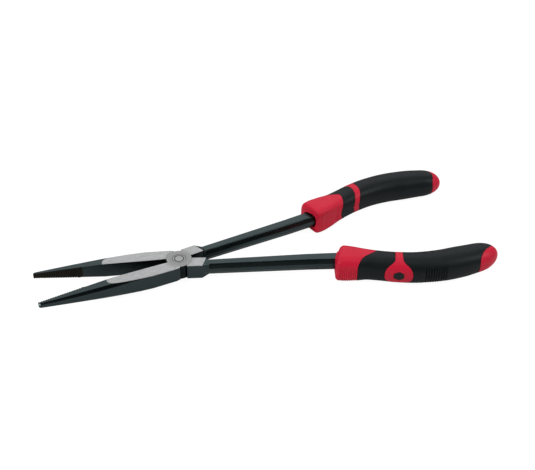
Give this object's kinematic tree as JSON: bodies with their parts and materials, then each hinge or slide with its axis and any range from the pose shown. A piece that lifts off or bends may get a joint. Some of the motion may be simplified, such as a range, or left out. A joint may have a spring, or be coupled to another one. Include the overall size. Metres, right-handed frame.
{
  "type": "needle-nose pliers",
  "caption": "Long-reach straight needle-nose pliers with a riveted lap joint, long round-edged rods and two-tone moulded grips, shown part open.",
  "frame": {"origin": "on the pivot axis, at the flush underside of the rivet", "axes": "+X along the tool from the pivot towards the handles (jaws towards -X), +Y towards the far handle, +Z along the pivot axis, up out of the joint's top face"},
  "size_m": [0.2757, 0.1048, 0.0177],
  "materials": {
    "blackened_steel": "blackened forged steel, with the top and bottom of the joint ground bright",
    "rivet_steel": "ground flush with the joint",
    "core_plastic": "hard moulded plastic, hidden",
    "red_rubber": "satin moulded red",
    "black_rubber": "satin moulded black",
    "badge_black": "plain moulded inlay"
  },
  "bodies": {
    "near_half": {"near_lever": "blackened_steel", "near_grip_core": "core_plastic", "near_guard_collar": "red_rubber", "near_front_sleeve": "black_rubber", "near_badge_band": "red_rubber", "near_rear_sleeve": "black_rubber", "near_end_cap": "red_rubber", "near_badge_inlay": "badge_black", "pivot_rivet": "rivet_steel"},
    "far_half": {"far_lever": "blackened_steel", "far_grip_core": "core_plastic", "far_guard_collar": "red_rubber", "far_front_sleeve": "black_rubber", "far_badge_band": "red_rubber", "far_rear_sleeve": "black_rubber", "far_end_cap": "red_rubber", "far_badge_inlay": "badge_black"}
  },
  "joints": [
    {"name": "pivot", "type": "hinge", "parent": "near_half", "child": "far_half", "pos_m": [0, 0, 0], "axis": [0, 0, 1], "range_deg": [-17, 25]}
  ]
}
